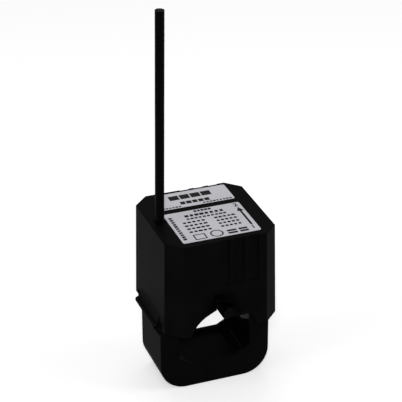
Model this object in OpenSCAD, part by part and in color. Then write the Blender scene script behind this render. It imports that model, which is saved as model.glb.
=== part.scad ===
// Split-core current transformer for a 42 mm window.
// The upper housing holds the wound core half and the output lead. A U-shaped
// jaw with the other core half swings down on a hinge at the left and closes
// the window from below. Z is up, the jaw stands on Z = 0, and the conductor
// passes along Y.

/* [Upper housing] */
// Depth of the housing's flat top, along the conductor
housing_d = 64.5; // [62:0.5:76]
// Height from the split line to the top
housing_h = 56.05; // [54:0.05:80]
// Legs of the four upright corner cuts
corner_cut = 8.1; // [5:0.1:10]
// Mould draft of every upright face, in degrees
draft = 1.15; // [0.6:0.05:1.6]
// Wall of the housing
wall = 2.2; // [1.8:0.1:2.6]
// Bevel along the edges of the top
top_bevel = 0.5; // [0.2:0.1:1]

/* [Window] */
// Clear width of the conductor window
window_w = 42.4; // [38:0.2:43]
// Width of the sloped corners at the window's floor
corner_w = 7.9; // [4:0.1:9]
// Height of the sloped corners at the window's floor
corner_h = 5; // [3:0.1:7]
// How far the arch's centre lies under the split line
arch_drop = 7.25; // [5:0.25:9]
// Depth of the rim that carries the arch behind each end wall
arch_rim = 5.5; // [5:0.5:6]

/* [Jaw] */
// Height of the jaw
jaw_h = 43.7; // [41:0.1:52]
// Thickness of the jaw under the window
jaw_floor = 14.2; // [13.8:0.2:18]
// Outer radius of the jaw's lower corners
jaw_corner_r = 15.6; // [12:0.2:17]
// Wall of the jaw's shell
jaw_wall = 2.2; // [1.8:0.1:2.6]
// Bevel along the jaw's front and rear edges
jaw_bevel = 0.4; // [0.2:0.1:0.8]
// Gap at the split line between jaw and housing
split_gap = 0.25; // [0.2:0.05:0.5]

/* [Cores] */
// Thickness of the wound core strip pack
core_t = 6.9; // [6:0.1:8]
// Depth of the cores, along the conductor
core_d = 28.6; // [24:0.2:32]
// Air between the core in the jaw and the jaw's side wall
core_gap = 0.6; // [0.3:0.1:1]
// Inner corner radius of both cores
core_inner_r = 5; // [3:0.5:6]

/* [Winding] */
// Wall of the bobbin
bobbin_wall = 1; // [0.8:0.1:1.4]
// Thickness of the winding
winding_t = 5; // [3:0.5:5.5]
// Thickness of the wrap around the winding
wrap_t = 0.5; // [0.3:0.1:0.6]
// Room between the winding and the housing's top
head_room = 7.1; // [6:0.1:12]

/* [Hinge] */
// Outer radius of the hinge barrel
barrel_r = 1.8; // [1.6:0.05:1.8]
// Diameter of the hinge pin
pin_d = 2; // [1.2:0.1:2]
// Overall length of the hinge
hinge_l = 32; // [28:1:36]
// Length of each jaw knuckle
knuckle_l = 4.5; // [3.5:0.5:6]
// How far the pin's ends stand back inside the outer knuckles
pin_recess = 2.5; // [1:0.5:2.5]

/* [Latch] */
// Width of the latch tongue
latch_w = 18; // [12:1:24]
// Thickness of the latch tongue
latch_t = 1.5; // [1.2:0.1:1.8]
// Height of the latch tongue above the split line
latch_rise = 8.5; // [7:0.5:12]

/* [Grip flutes] */
// Width of a flute
flute_w = 5.5; // [4:0.25:6]
// Distance between flutes
flute_pitch = 8.6; // [7:0.05:9]
// Length of a flute, down from the top
flute_l = 27.5; // [20:0.5:34]
// Depth of a flute at the top
flute_depth = 1.1; // [0.6:0.1:1.2]
// Number of flutes on each side
flute_count = 3; // [1:1:3]

/* [Output lead] */
// Diameter of the lead's jacket
lead_d = 5.1; // [4:0.1:5.6]
// Distance of the lead's middle line from the edge of the top
lead_inset = 5.7; // [5.2:0.1:9]
// Outer diameter of the bush in the top
bush_d = 7.2; // [6.8:0.1:8]

/* [Labels] */
// Width of both labels
label_w = 45; // [36:0.2:46]
// Depth of the rating label
label_d = 34.2; // [30:0.2:36]
// Depth of the header label
header_d = 18; // [14:0.2:20]
// Gap between the two labels
label_gap = 4.8; // [2:0.2:5]
// Thickness of the labels
label_t = 0.15; // [0.1:0.05:0.3]

/* [Conductor stop] */
// How far the stop stands in from the window's side
stop_reach = 11; // [6:0.5:13]
// Height of the stop
stop_h = 7.4; // [5:0.2:9]
// Depth of the stop, along the conductor
stop_d = 17.8; // [8:0.2:18]

/* [Hidden] */
$fn = 64;
far = 200;                                  // larger than the part, for cutters
fit = 0.2;                                  // gap between pieces that seat in each other
free = 0.35;                                // gap between pieces that move past each other

split_z = jaw_h + split_gap;                // split line, the housing's lower edge
top_z = split_z + housing_h;
arch_r = window_w / 2;
arch_x = -0.5;                              // the arch sits a little left of the middle
arch_z = split_z - arch_drop;
crown_z = arch_z + arch_r;

liner_t = 1.5;                              // wall of the arch and jaw liners
plate_z = split_z + 0.4;                    // underside of the liner's flat plate
core_in = arch_r + liner_t + fit;           // inner faces of both cores' legs
fold = 0.65;                                // rise of the fold in the sloped corners
core_out = core_in + core_t;
upper_pole_z = split_z;
lower_pole_z = split_z - 0.15;              // air is left between facing pole faces

pack_t = fit + bobbin_wall + winding_t + wrap_t;    // bobbin and winding on the yoke
yoke_top = top_z - wall - head_room - pack_t;
yoke_z = yoke_top - core_t;

top_x = core_out + wall;                    // half-widths of the housing at its top
top_y = housing_d / 2;
spread = housing_h * tan(draft);            // how far each face leans out by the split
split_x = top_x + spread;
split_y = top_y + spread;

jaw_half = core_out + core_gap + jaw_wall;
jaw_d = core_d + 2 * (fit + jaw_wall);
jaw_y = jaw_d / 2;
lower_yoke_z = jaw_floor - liner_t - fit;   // upper face of the lower yoke

spring_h = lower_yoke_z - core_t - jaw_wall - fit;
spring_span = 14;
spring_d = 20;
spring_t = 0.4;
spring_x = 8.5;

barrel_gap = 0.3;                           // between the barrel and the jaw's side
hinge_x = -(jaw_half + barrel_gap + barrel_r);
hinge_z = split_z - 0.15;
pin_l = hinge_l - 2 * pin_recess;
pin_mouth_d = 2.7;                          // wider mouth of the knuckles' bores
flare_r = 7;                                // hollow curve from the wall to the barrel
slot_w = 4.8;                               // slots beside the hinge, in the wall
slot_h = 3.75;
gusset_foot = 6.8;                          // lower end of the knuckle's gusset
gusset_tip = 4.6;

latch_x = split_x + 0.3;                    // inner face of the latch tongue
latch_foot = 9.5;                           // how far its foot reaches down the jaw
latch_slope = 5;                            // height over which the foot widens
latch_lip = -hinge_x + barrel_r - latch_x;  // its lip stands out as far as the barrel
lip_t = 1;
bead_z = split_z + latch_rise - 2.2;        // bead on the tongue, in the housing's groove
bead_t = 0.2;
bead_h = 1.4;
groove_t = 0.6;

flute_x = 8;                                // middle of the row of flutes
flute_r = 1.8;                              // corner radius at their lower ends
scoop_x = -3;                               // flared scoop over the arch, front only
scoop_rise = 5.4;                           // its middle over the arch's crown
scoop_in = 0.5;                             // its radius where the flare ends
scoop_flare = 9.5;                          // radius of the flare
scoop_depth = 6;
notch_slope = 40;                           // the notch under the scoop runs inwards and down
pad_half = 11;                              // pad behind the scoop
pad_rise = 15;

label_x = 0.2;                              // the labels sit a little right of the middle
label_front = 4.75 - top_y;
label_r = 1.2;                              // corner radius of the labels
header_cut = 8.6;                            // the header label's cut corner, at the lead

core_lead_d = 1.5;                          // insulated cores of the lead
core_lead_y = 1.1;                          // their distance from the middle line
bend_r = 3;
pin_z = yoke_top + 3;                       // terminal pins in the bobbin's flange
pin_y = 3.3;
pin_out = 2.5;
terminal_d = 0.8;
jacket_z = pin_z + bend_r;                  // inner end of the lead's jacket

// Middle line of the lead, from inside the housing to its cut end
lead_x = top_x - lead_inset;
lead_path = [[-lead_x, 0, jacket_z], [-lead_x, 0, top_z],
             [-lead_x + 0.15, 0, top_z + 12], [-lead_x + 0.4, 0, top_z + 26],
             [-lead_x + 0.65, 0, top_z + 40], [-lead_x + 0.9, 0, top_z + 54],
             [-lead_x + 1.1, 0, top_z + 68], [-lead_x + 1.35, 0, top_z + 82],
             [-lead_x + 1.6, 0, top_z + 96], [-lead_x + 1.85, 0, top_z + 110],
             [-lead_x + 2.05, 0, top_z + 123.2]];

plastic = [0.05, 0.05, 0.055];
liner_plastic = [0.09, 0.09, 0.1];
steel = [0.62, 0.63, 0.65];

// ---- Upper housing ----

// Distance of side i of the eight-sided block from its middle, at the top
function side_at(i, inset) =
    (i % 2 == 1 ? (top_x + top_y - corner_cut) / sqrt(2) : i % 4 == 0 ? top_x : top_y) - inset;

// Takes away everything outside eight upright planes that lean by a tilt and
// stand inset from the sides of the top at height z
module trim_sides(inset, z, tilt)
    for (i = [0:7])
        rotate([0, 0, 45 * i])
            translate([side_at(i, inset), 0, z])
                rotate([0, -tilt, 0])
                    translate([0, -far / 2, -far])
                        cube([far, far, 2 * far]);

// Eight-sided block with draft between two heights
module drafted_block(inset, z0, z1)
    difference() {
        translate([-far / 4, -far / 4, z0])
            cube([far / 2, far / 2, z1 - z0]);
        trim_sides(inset, top_z, draft);
    }

module arch_bore(r, y0, y1)
    translate([arch_x, y0, arch_z])
        rotate([-90, 0, 0])
            cylinder(r = r, h = y1 - y0, $fn = 128);

// Scoop over the crown of the arch, flared out to the drafted front wall
module scoop() {
    middle_z = crown_z + scoop_rise;
    translate([scoop_x, -top_y - (top_z - middle_z) * tan(draft), middle_z])
        rotate([90 - draft, 0, 0]) {
            translate([0, 0, -scoop_depth])
                rotate_extrude()
                    difference() {
                        square([scoop_in + scoop_flare, scoop_depth]);
                        translate([scoop_in + scoop_flare, scoop_depth - scoop_flare])
                            circle(r = scoop_flare, $fn = 96);
                    }
            translate([0, 0, -0.02])
                cylinder(r = scoop_in + scoop_flare, h = 4);
        }
}

// Notch from the scoop down through the rim into the arch, for a tie that holds
// the conductor
module notch()
    translate([0, -split_y, crown_z])
        rotate([90 - notch_slope, 0, 0])
            linear_extrude(far / 8, center = true)
                polygon([[-5, -5], [-5, 4.1], [-3.6, 5.7], [-1.8, 6.3], [0.4, 5.2],
                         [3.1, 4.2], [4.6, 2.6], [8.4, -0.6], [8.4, -5]]);

module flute(x)
    translate([x, 0, top_z - flute_l])
        rotate([90, 0, 0])
            translate([0, 0, top_y - flute_depth])
                linear_extrude(far / 4) {
                    for (s = [-1, 1])
                        translate([s * (flute_w / 2 - flute_r), flute_r])
                            circle(r = flute_r);
                    translate([-flute_w / 2 + flute_r, 0])
                        square([flute_w - 2 * flute_r, flute_l + 1]);
                    translate([-flute_w / 2, flute_r])
                        square([flute_w, flute_l]);
                }

module flutes()
    for (side = [0, 180], i = [0:flute_count - 1])
        rotate([0, 0, side])
            flute((side == 0 ? 1 : -1) * (flute_x + (i - (flute_count - 1) / 2) * flute_pitch));

// Barrel of the hinge with the hollow flare that joins it to the wall
module hinge_flare() {
    leaf_x = -split_x + wall;
    difference() {
        translate([hinge_x, -hinge_l / 2, hinge_z])
            cube([leaf_x - hinge_x, hinge_l, flare_r]);
        translate([-split_x - flare_r, 0, hinge_z + flare_r])
            rotate([90, 0, 0])
                cylinder(r = flare_r, h = hinge_l + 2, center = true);
        knuckle_room();
    }
    translate([hinge_x, 0, hinge_z])
        rotate([90, 0, 0])
            cylinder(r = barrel_r, h = hinge_l - 2 * knuckle_l - 2 * fit, center = true);
}

// Room in the flare and the wall for the jaw's knuckles to turn in
module knuckle_room()
    for (s = [-1, 1])
        translate([hinge_x, s * (hinge_l / 2 + 1 - knuckle_l / 2), hinge_z])
            rotate([90, 0, 0])
                cylinder(r = barrel_r + free, h = knuckle_l + 2 + 2 * fit, center = true);

// Rims behind the front and rear walls that the arch liner fits between, the
// front one with a pad that the scoop and the notch are sunk into
module arch_rims() {
    depth = wall + arch_rim;
    intersection() {
        drafted_block(wall / 2, split_z, top_z - wall / 2);
        for (s = [-1, 1])
            translate([0, s * (split_y - depth / 2) - depth / 2, 0]) {
                translate([arch_x, 0, arch_z])
                    rotate([-90, 0, 0])
                        cylinder(r = arch_r + liner_t, h = depth, $fn = 128);
                if (s < 0)
                    translate([-pad_half, 0, crown_z - liner_t])
                        cube([2 * pad_half, depth, pad_rise + liner_t]);
            }
    }
}

module housing()
    color(plastic)
        difference() {
            union() {
                difference() {
                    drafted_block(0, split_z, top_z);
                    trim_sides(top_bevel / 2, top_z - top_bevel / 2, 45);
                    drafted_block(wall, split_z - 1, top_z - wall);
                    for (s = [-1, 1])
                        translate([-split_x - 1, s * (hinge_l + slot_w) / 2 - slot_w / 2,
                                   split_z - 1])
                            cube([wall + 2, slot_w, slot_h + 1]);
                    knuckle_room();
                }
                arch_rims();
                hinge_flare();
            }
            arch_bore(arch_r, -far / 2, far / 2);
            flutes();
            scoop();
            notch();
            translate([-lead_x, 0, top_z - wall - 1])
                cylinder(d = bush_d, h = wall + 2);
            translate([hinge_x, 0, hinge_z])
                rotate([90, 0, 0])
                    cylinder(d = pin_d, h = hinge_l, center = true);
            translate([split_x - groove_t, -latch_w / 2 - free, bead_z - bead_h / 2 - free])
                cube([2 * groove_t, latch_w + 2 * free, bead_h + 2 * free]);
        }

// Tunnel and flat plates that close the housing from below
module arch_liner() {
    y = split_y - wall - arch_rim - fit;
    color(liner_plastic)
        difference() {
            union() {
                intersection() {
                    arch_bore(arch_r + liner_t, -y, y);
                    translate([-far / 2, -far / 2, plate_z])
                        cube(far);
                }
                intersection() {
                    drafted_block(wall + fit, plate_z, plate_z + liner_t);
                    translate([-far / 2, -y, plate_z])
                        cube([far, 2 * y, liner_t]);
                }
            }
            arch_bore(arch_r, -far / 2, far / 2);
            for (s = [-1, 1])
                translate([s * (core_in + core_t / 2), 0, plate_z])
                    cube([core_t + 2 * fit, core_d + 2 * fit, 4 * liner_t], center = true);
        }
}

// ---- Cores ----

// Closed outline of a C-core half in the XZ plane: legs at the core's places,
// yoke between z0 and z0 + core_t, opening upwards to z1
module core_half(z0, z1) {
    outer_r = core_inner_r + core_t;
    translate([0, core_d / 2, 0])
        rotate([90, 0, 0])
            linear_extrude(core_d)
                difference() {
                    union() {
                        translate([-core_out, z0 + outer_r])
                            square([2 * core_out, z1 - z0 - outer_r]);
                        translate([-core_out + outer_r, z0])
                            square([2 * (core_out - outer_r), outer_r + 1]);
                        for (s = [-1, 1])
                            translate([s * (core_out - outer_r), z0 + outer_r])
                                circle(r = outer_r);
                    }
                    translate([-core_in, z0 + outer_r])
                        square([2 * core_in, z1 - z0]);
                    translate([-core_in + core_inner_r, z0 + core_t])
                        square([2 * (core_in - core_inner_r), outer_r]);
                    for (s = [-1, 1])
                        translate([s * (core_in - core_inner_r), z0 + outer_r])
                            circle(r = core_inner_r);
                }
}

module upper_core()
    color(steel)
        translate([0, 0, yoke_top])
            mirror([0, 0, 1])
                core_half(0, yoke_top - upper_pole_z);

module lower_core()
    color(steel)
        core_half(lower_yoke_z - core_t, lower_pole_z);

// ---- Winding on the upper yoke ----

bobbin_half = core_in - core_inner_r;       // half the bobbin's length, between the bends
flange_t = 1.2;

// Block around the yoke, grown by a thickness t
module around_yoke(t, half_length)
    translate([-half_length, -core_d / 2 - t, yoke_z - t])
        cube([2 * half_length, core_d + 2 * t, core_t + 2 * t]);

module bobbin()
    color([0.8, 0.78, 0.7])
        difference() {
            union() {
                around_yoke(fit + bobbin_wall, bobbin_half);
                for (s = [-1, 1])
                    translate([s * (bobbin_half - flange_t / 2), 0, 0])
                        around_yoke(pack_t, flange_t / 2);
            }
            around_yoke(fit, bobbin_half + 1);
            for (s = [-1, 1])
                translate([-bobbin_half, s * pin_y, pin_z])
                    rotate([0, 90, 0])
                        cylinder(d = terminal_d, h = 2 * flange_t + 1, center = true);
        }

module secondary_winding()
    color([0.55, 0.27, 0.12])
        difference() {
            around_yoke(pack_t - wrap_t, bobbin_half - flange_t);
            around_yoke(fit + bobbin_wall, bobbin_half);
        }

module winding_wrap()
    color([0.85, 0.75, 0.3])
        difference() {
            around_yoke(pack_t, bobbin_half - flange_t);
            around_yoke(pack_t - wrap_t, bobbin_half);
        }

// Two pins in the bobbin's flange, where the lead's cores are soldered
module terminal_pins()
    color(steel)
        for (s = [-1, 1])
            translate([-bobbin_half - pin_out, s * pin_y, pin_z])
                rotate([0, 90, 0])
                    cylinder(d = terminal_d, h = pin_out + flange_t);

// ---- Output lead ----

// Bush in the top, its flange trimmed beside the housing's wall
module cable_bush() {
    flange_z = top_z - wall - liner_t;
    color([0.03, 0.03, 0.03])
        difference() {
            union() {
                translate([-lead_x, 0, top_z - wall])
                    cylinder(d = bush_d - fit / 2, h = wall - 0.4);
                intersection() {
                    translate([-lead_x, 0, flange_z])
                        cylinder(d = bush_d + 2, h = liner_t);
                    drafted_block(wall + fit, flange_z, top_z);
                }
            }
            translate([-lead_x, 0, flange_z - 1])
                cylinder(d = lead_d, h = wall + 3);
        }
}

// Clamp that grips the lead inside, under the bush
module lead_clamp()
    color(liner_plastic)
        difference() {
            intersection() {
                translate([-lead_x, 0, jacket_z + 0.5])
                    cylinder(d = lead_d + 2.6, h = 4);
                drafted_block(wall + fit, jacket_z, top_z);
            }
            translate([-lead_x, 0, jacket_z])
                cylinder(d = lead_d, h = 6);
        }

// One insulated core, from the end of the jacket down to its terminal pin
module lead_core(side)
    color(side > 0 ? [0.35, 0.2, 0.1] : [0.15, 0.25, 0.6])
        translate([-lead_x + bend_r, side * core_lead_y, jacket_z]) {
            rotate([90, 0, 0])
                rotate_extrude(angle = 90)
                    translate([-bend_r, 0])
                        circle(d = core_lead_d);
            translate([0, 0, -bend_r])
                rotate([0, 90, 0])
                    cylinder(d = core_lead_d, h = lead_x - bend_r - bobbin_half - 0.5);
        }

module lead_core_1() lead_core(1);
module lead_core_2() lead_core(-1);

// Ring of the lead's tube: points around a place on the path, square to it
function lead_dir(i) =
    let (a = lead_path[max(i - 1, 0)], b = lead_path[min(i + 1, len(lead_path) - 1)])
    (b - a) / norm(b - a);
function lead_ring(i, sides) =
    let (d = lead_dir(i), u = cross([0, 1, 0], d) / norm(cross([0, 1, 0], d)), v = cross(d, u))
    [for (k = [0:sides - 1])
        lead_path[i] + lead_d / 2 * (cos(360 * k / sides) * u + sin(360 * k / sides) * v)];

module output_lead() {
    sides = 12;
    rings = len(lead_path);
    points = [for (i = [0:rings - 1]) each lead_ring(i, sides)];
    walls = [for (i = [0:rings - 2], k = [0:sides - 1])
        [i * sides + k, (i + 1) * sides + k,
         (i + 1) * sides + (k + 1) % sides, i * sides + (k + 1) % sides]];
    color([0.04, 0.04, 0.045])
        polyhedron(points, concat([[for (k = [0:sides - 1]) k]], walls,
            [[for (k = [0:sides - 1]) rings * sides - 1 - k]]), convexity = 4);
}

// ---- Labels ----

module label_plate(depth, y0)
    translate([label_x, y0, top_z])
        linear_extrude(label_t)
            difference() {
                union() {
                    translate([-label_w / 2 + label_r, 0])
                        square([label_w - 2 * label_r, depth]);
                    translate([-label_w / 2, label_r])
                        square([label_w, depth - 2 * label_r]);
                    for (x = [-1, 1], y = [label_r, depth - label_r])
                        translate([x * (label_w / 2 - label_r), y])
                            circle(r = label_r);
                }
                children();
            }

module rating_label()
    color([0.78, 0.78, 0.82])
        label_plate(label_d, label_front);

module header_label()
    color([0.78, 0.78, 0.82])
        label_plate(header_d, label_front + label_d + label_gap)
            translate([-label_w / 2, header_d])
                rotate(45)
                    square(header_cut * sqrt(2), center = true);

// ---- Hinge pin ----

module hinge_pin()
    color(steel)
        translate([hinge_x, 0, hinge_z])
            rotate([90, 0, 0])
                cylinder(d = pin_d, h = pin_l, center = true);

// ---- Jaw ----

// Outline of the jaw without its window: flat top, round lower corners
module jaw_outline(inset, top)
    union() {
        translate([-jaw_half + inset, jaw_corner_r])
            square([2 * (jaw_half - inset), top - jaw_corner_r]);
        translate([-jaw_half + jaw_corner_r, inset])
            square([2 * (jaw_half - jaw_corner_r), jaw_corner_r]);
        for (s = [-1, 1])
            translate([s * (jaw_half - jaw_corner_r), jaw_corner_r])
                circle(r = jaw_corner_r - inset, $fn = 96);
    }

// The right sloped corner of the window's floor, grown by t: wall, fold, floor
function sloped_corner(t) =
    let (steep = atan((corner_h + 2 * fold) / corner_w),
         flat = atan((corner_h - 2 * fold) / corner_w))
    [[arch_r + t, jaw_floor + corner_h - t * (1 - sin(flat)) / cos(flat)],
     [arch_r - corner_w / 2, jaw_floor + corner_h / 2 + fold]
         + t / (1 + cos(steep - flat)) * [sin(flat) + sin(steep), -cos(flat) - cos(steep)],
     [arch_r - corner_w + t * tan(steep / 2), jaw_floor - t]];

// Window of the jaw, grown by t, with sloped corners at its floor
module window_outline(t) {
    corner = sloped_corner(t);
    polygon([[arch_r + t, far / 2], corner[0], corner[1], corner[2],
             [-corner[2][0], corner[2][1]], [-corner[1][0], corner[1][1]],
             [-corner[0][0], corner[0][1]], [-arch_r - t, far / 2]]);
}

module upright(depth)
    translate([0, depth / 2, 0])
        rotate([90, 0, 0])
            linear_extrude(depth)
                children();

// Knuckle of the jaw at one end of the hinge, with the gusset that carries it
module jaw_knuckle(side)
    translate([0, side * (hinge_l - knuckle_l) / 2, 0])
        rotate([90, 0, 0])
            linear_extrude(knuckle_l, center = true) {
                translate([hinge_x, hinge_z])
                    circle(r = barrel_r);
                polygon([[-jaw_half + 1, hinge_z - gusset_foot],
                         [-jaw_half, hinge_z - gusset_foot],
                         [hinge_x + barrel_r / 3, hinge_z - gusset_tip],
                         [hinge_x - barrel_r * cos(30), hinge_z - barrel_r * sin(30)],
                         [hinge_x, hinge_z - barrel_r / 3],
                         [-jaw_half + 1, hinge_z - barrel_r / 3]]);
            }

// Snap tongue on the right, standing up outside the housing's wall
module latch_tongue() {
    foot_z = split_z - latch_foot;
    tip_z = split_z + latch_rise;
    back_x = latch_x + latch_t;
    upright(latch_w)
        polygon([[jaw_half - 1, foot_z], [jaw_half, foot_z], [back_x, foot_z + latch_slope],
                 [back_x, tip_z - 3 * lip_t], [latch_x + latch_lip, tip_z - lip_t],
                 [latch_x + latch_lip, tip_z], [latch_x, tip_z],
                 [latch_x, bead_z + bead_h / 2], [latch_x - bead_t, bead_z],
                 [latch_x, bead_z - bead_h / 2], [latch_x, jaw_h - 1],
                 [jaw_half - 1, jaw_h - 1]]);
}

module jaw_shell()
    color(plastic)
        difference() {
            union() {
                upright(jaw_d - 2 * jaw_bevel)
                    jaw_outline(0, jaw_h);
                upright(jaw_d - jaw_bevel)
                    jaw_outline(jaw_bevel / 3, jaw_h);
                upright(jaw_d)
                    jaw_outline(jaw_bevel * 2 / 3, jaw_h);
                for (s = [-1, 1])
                    jaw_knuckle(s);
                latch_tongue();
            }
            upright(far)
                window_outline(0);
            upright(core_d + 2 * fit)
                jaw_outline(jaw_wall, jaw_h + 1);
            translate([hinge_x, 0, hinge_z])
                rotate([90, 0, 0]) {
                    cylinder(d = pin_d + 0.1, h = hinge_l + 2, center = true);
                    for (s = [-1, 1])
                        translate([0, 0, s * (pin_l / 2 + pin_recess)])
                            cylinder(d = pin_mouth_d, h = 2 * pin_recess, center = true);
                }
        }

// Lining of the window: side walls and floor that shut the core in
module jaw_liner()
    color(liner_plastic)
        difference() {
            intersection() {
                upright(core_d + 2 * fit)
                    difference() {
                        window_outline(liner_t);
                        window_outline(0);
                    }
                translate([-far / 2, -far / 2, 0])
                    cube([far, far, jaw_h]);
            }
            stop_key(fit / 2);
        }

// Arched steel strip under one side of the lower yoke
module leaf_spring(x) {
    r = (spring_span * spring_span / 4 + spring_h * spring_h) / (2 * spring_h);
    color(steel)
        translate([x, 0, jaw_wall + spring_h - r])
            rotate([90, 0, 0])
                intersection() {
                    difference() {
                        cylinder(r = r, h = spring_d, center = true, $fn = 128);
                        cylinder(r = r - spring_t, h = spring_d + 2, center = true, $fn = 128);
                    }
                    translate([-spring_span / 2, r - spring_h, -spring_d])
                        cube([spring_span, 2 * spring_h, 2 * spring_d]);
                }
}

module left_spring() leaf_spring(-spring_x);
module right_spring() leaf_spring(spring_x);

// ---- Conductor stop ----

stop_z = jaw_h - 12.7;                      // underside of the stop
stop_front = -3.6;                          // its front face
stop_slope = 3;                             // legs of its sloped upper edge
stop_edge = 1;                              // bevel along its lower front edge
key_h = 4;

// Key that seats the stop in the jaw's lining
module stop_key(gap)
    translate([arch_r - 1, stop_front + 2 - gap, stop_z + 1.5 - gap])
        cube([1 + liner_t - 0.3 + gap, stop_d - 5 + 2 * gap, key_h + 2 * gap]);

module conductor_stop()
    color(plastic) {
        difference() {
            translate([0, stop_front + stop_d, 0])
                rotate([90, 0, 0])
                    linear_extrude(stop_d)
                        difference() {
                            polygon([[arch_r, stop_z], [arch_r, stop_z + stop_h],
                                     [arch_r - stop_reach + stop_slope, stop_z + stop_h],
                                     [arch_r - stop_reach, stop_z + stop_h - stop_slope],
                                     [arch_r - stop_reach, stop_z]]);
                            translate([arch_r - stop_reach, stop_z])
                                difference() {
                                    square(1);
                                    translate([1, 1])
                                        circle(r = 1);
                                }
                        }
            translate([arch_r - stop_reach + 3, stop_front, stop_z])
                rotate([45, 0, 0])
                    translate([0, -stop_edge / sqrt(2), -stop_edge])
                        cube([far, sqrt(2) * stop_edge, 2 * stop_edge]);
        }
        stop_key(0);
    }

housing();
arch_liner();
upper_core();
bobbin();
secondary_winding();
winding_wrap();
terminal_pins();
lead_core_1();
lead_core_2();
lead_clamp();
cable_bush();
output_lead();
rating_label();
header_label();
hinge_pin();
jaw_shell();
jaw_liner();
lower_core();
left_spring();
right_spring();
conductor_stop();
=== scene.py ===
"""A split-core current transformer: a black moulded housing with its wound core,
a hinged U-shaped jaw below it, and the output lead that stands out of the top."""

import math
from functools import partial

import bmesh
import bpy
from mathutils import Matrix, Vector


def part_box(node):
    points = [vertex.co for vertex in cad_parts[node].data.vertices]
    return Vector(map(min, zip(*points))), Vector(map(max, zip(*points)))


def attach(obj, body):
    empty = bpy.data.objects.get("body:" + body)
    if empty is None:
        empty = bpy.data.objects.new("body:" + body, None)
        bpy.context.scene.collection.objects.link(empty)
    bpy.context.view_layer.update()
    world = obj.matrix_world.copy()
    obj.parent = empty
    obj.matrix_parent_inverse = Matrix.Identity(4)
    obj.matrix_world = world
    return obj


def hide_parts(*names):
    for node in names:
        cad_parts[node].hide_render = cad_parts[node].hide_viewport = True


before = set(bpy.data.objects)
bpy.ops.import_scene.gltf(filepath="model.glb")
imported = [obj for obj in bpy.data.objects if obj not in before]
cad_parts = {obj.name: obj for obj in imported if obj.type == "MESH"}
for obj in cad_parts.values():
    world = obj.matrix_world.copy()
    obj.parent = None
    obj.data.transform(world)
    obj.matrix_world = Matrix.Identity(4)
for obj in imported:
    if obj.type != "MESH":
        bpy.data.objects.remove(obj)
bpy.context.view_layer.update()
MM = 0.001


# ---- Camera ----
# A long lens at table height looks down on the transformer from its front left
# corner, so the top, the front and a slice of the left side show.

camera_data = bpy.data.cameras.new("camera")
camera_data.sensor_width = 36
camera_data.lens = 139.164
camera_data.clip_start = 0.05
camera_data.clip_end = 20
camera = bpy.data.objects.new("camera", camera_data)
camera.location = (-0.26464, -0.70751, 0.50884)
camera.rotation_euler = [math.radians(angle) for angle in (62.0592, 0.2016, -20.4660)]
bpy.context.scene.collection.objects.link(camera)
bpy.context.scene.camera = camera


# ---- Output lead ----
# A two-core lead with a round satin jacket of black PVC, gripped by a clamp under
# the top. It is stiff enough to stand straight up, and its far end is cut square.

lead_d = 5.1 * MM
lead_x = -26.3
lead_top = 100.0
lead_route = [
    (lead_x, 0, 90.3),
    (lead_x, 0, lead_top),
    (lead_x + 0.15, 0, lead_top + 12),
    (lead_x + 0.4, 0, lead_top + 26),
    (lead_x + 0.65, 0, lead_top + 40),
    (lead_x + 0.9, 0, lead_top + 54),
    (lead_x + 1.1, 0, lead_top + 68),
    (lead_x + 1.35, 0, lead_top + 82),
    (lead_x + 1.6, 0, lead_top + 96),
    (lead_x + 1.85, 0, lead_top + 110),
    (lead_x + 2.05, 0, lead_top + 123.2),
]


def with_midpoints(points):
    """The same route with a point added halfway along each of its stretches."""
    places = [Vector(point) * MM for point in points]
    halved = [places[0]]
    for start, end in zip(places, places[1:]):
        halved += [(start + end) / 2, end]
    return halved


def new_material(name, **sockets):
    """A material whose shader holds the given constants, such as Metallic=1."""
    material = bpy.data.materials.new(name)
    material.use_nodes = True
    shader = material.node_tree.nodes["Principled BSDF"]
    for socket, value in sockets.items():
        shader.inputs[socket.replace("_", " ")].default_value = value
    return material


def noise_pattern(material, scale, detail=3, stretch=(1, 1, 1)):
    """Noise on Object coordinates: its output socket, from 0 to 1."""
    nodes, links = material.node_tree.nodes, material.node_tree.links
    place = nodes.new("ShaderNodeTexCoord")
    squeeze = nodes.new("ShaderNodeMapping")
    squeeze.inputs["Scale"].default_value = stretch
    noise = nodes.new("ShaderNodeTexNoise")
    noise.inputs["Scale"].default_value = scale
    noise.inputs["Detail"].default_value = detail
    links.new(place.outputs["Object"], squeeze.inputs["Vector"])
    links.new(squeeze.outputs["Vector"], noise.inputs["Vector"])
    return noise.outputs["Fac"]


def colour_from(material, pattern, dark, pale, low=0.3, high=0.7):
    """The pattern runs the base colour from dark to pale."""
    nodes, links = material.node_tree.nodes, material.node_tree.links
    shade = nodes.new("ShaderNodeValToRGB")
    for element, place, colour in zip(shade.color_ramp.elements, (low, high), (dark, pale)):
        element.position = place
        element.color = (*colour, 1)
    links.new(pattern, shade.inputs["Fac"])
    links.new(shade.outputs["Color"], nodes["Principled BSDF"].inputs["Base Color"])


def roughness_from(material, pattern, low, high):
    """The pattern runs the roughness from low to high."""
    nodes, links = material.node_tree.nodes, material.node_tree.links
    span = nodes.new("ShaderNodeMapRange")
    span.inputs["To Min"].default_value = low
    span.inputs["To Max"].default_value = high
    links.new(pattern, span.inputs["Value"])
    links.new(span.outputs["Result"], nodes["Principled BSDF"].inputs["Roughness"])


def bump_from(material, pattern, strength, height):
    """The pattern raises the surface by up to the height, as shading."""
    nodes, links = material.node_tree.nodes, material.node_tree.links
    bump = nodes.new("ShaderNodeBump")
    bump.inputs["Strength"].default_value = strength
    bump.inputs["Distance"].default_value = height
    links.new(pattern, bump.inputs["Height"])
    links.new(bump.outputs["Normal"], nodes["Principled BSDF"].inputs["Normal"])


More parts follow.
